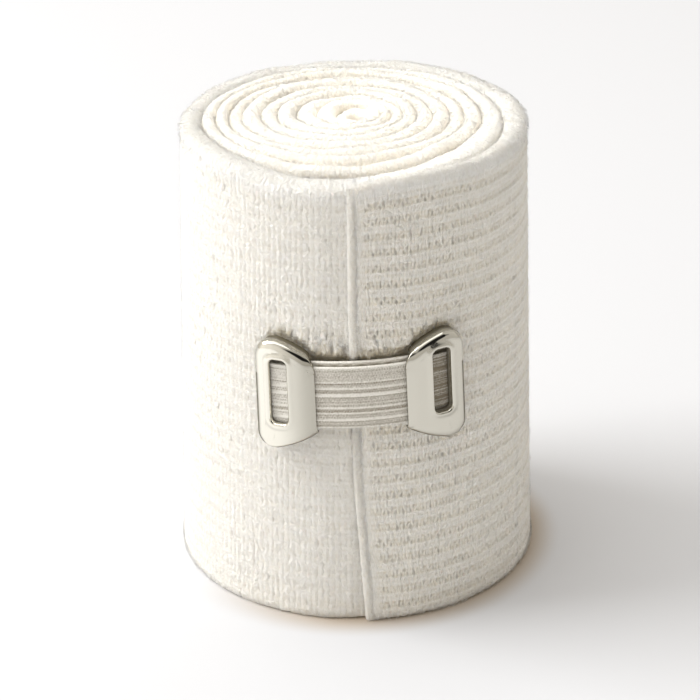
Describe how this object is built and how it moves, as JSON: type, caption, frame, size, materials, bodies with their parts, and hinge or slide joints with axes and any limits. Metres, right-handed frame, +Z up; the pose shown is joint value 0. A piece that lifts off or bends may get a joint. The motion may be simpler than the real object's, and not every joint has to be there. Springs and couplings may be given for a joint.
{
  "type": "elastic bandage roll with strap clip",
  "caption": "Knitted elastic bandage wound into a standing roll, its end held on the front by a woven elastic strap between slotted metal plates.",
  "frame": {"origin": "on the surface the roll stands on, under the middle of its bounding box", "axes": "+Z up along the roll's axis, -Y out of the front where the clip is, +X to the right seen from the front"},
  "size_m": [0.059, 0.0605, 0.075],
  "materials": {
    "bandage_cloth": "matte cream-white ribbed knit",
    "strap_elastic": "grey-white woven elastic with lighter cords along it",
    "clip_metal": "polished nickel plate"
  },
  "bodies": {
    "root": {"bandage": "bandage_cloth", "strap": "strap_elastic", "plate_left": "clip_metal", "plate_right": "clip_metal"}
  },
  "joints": []
}
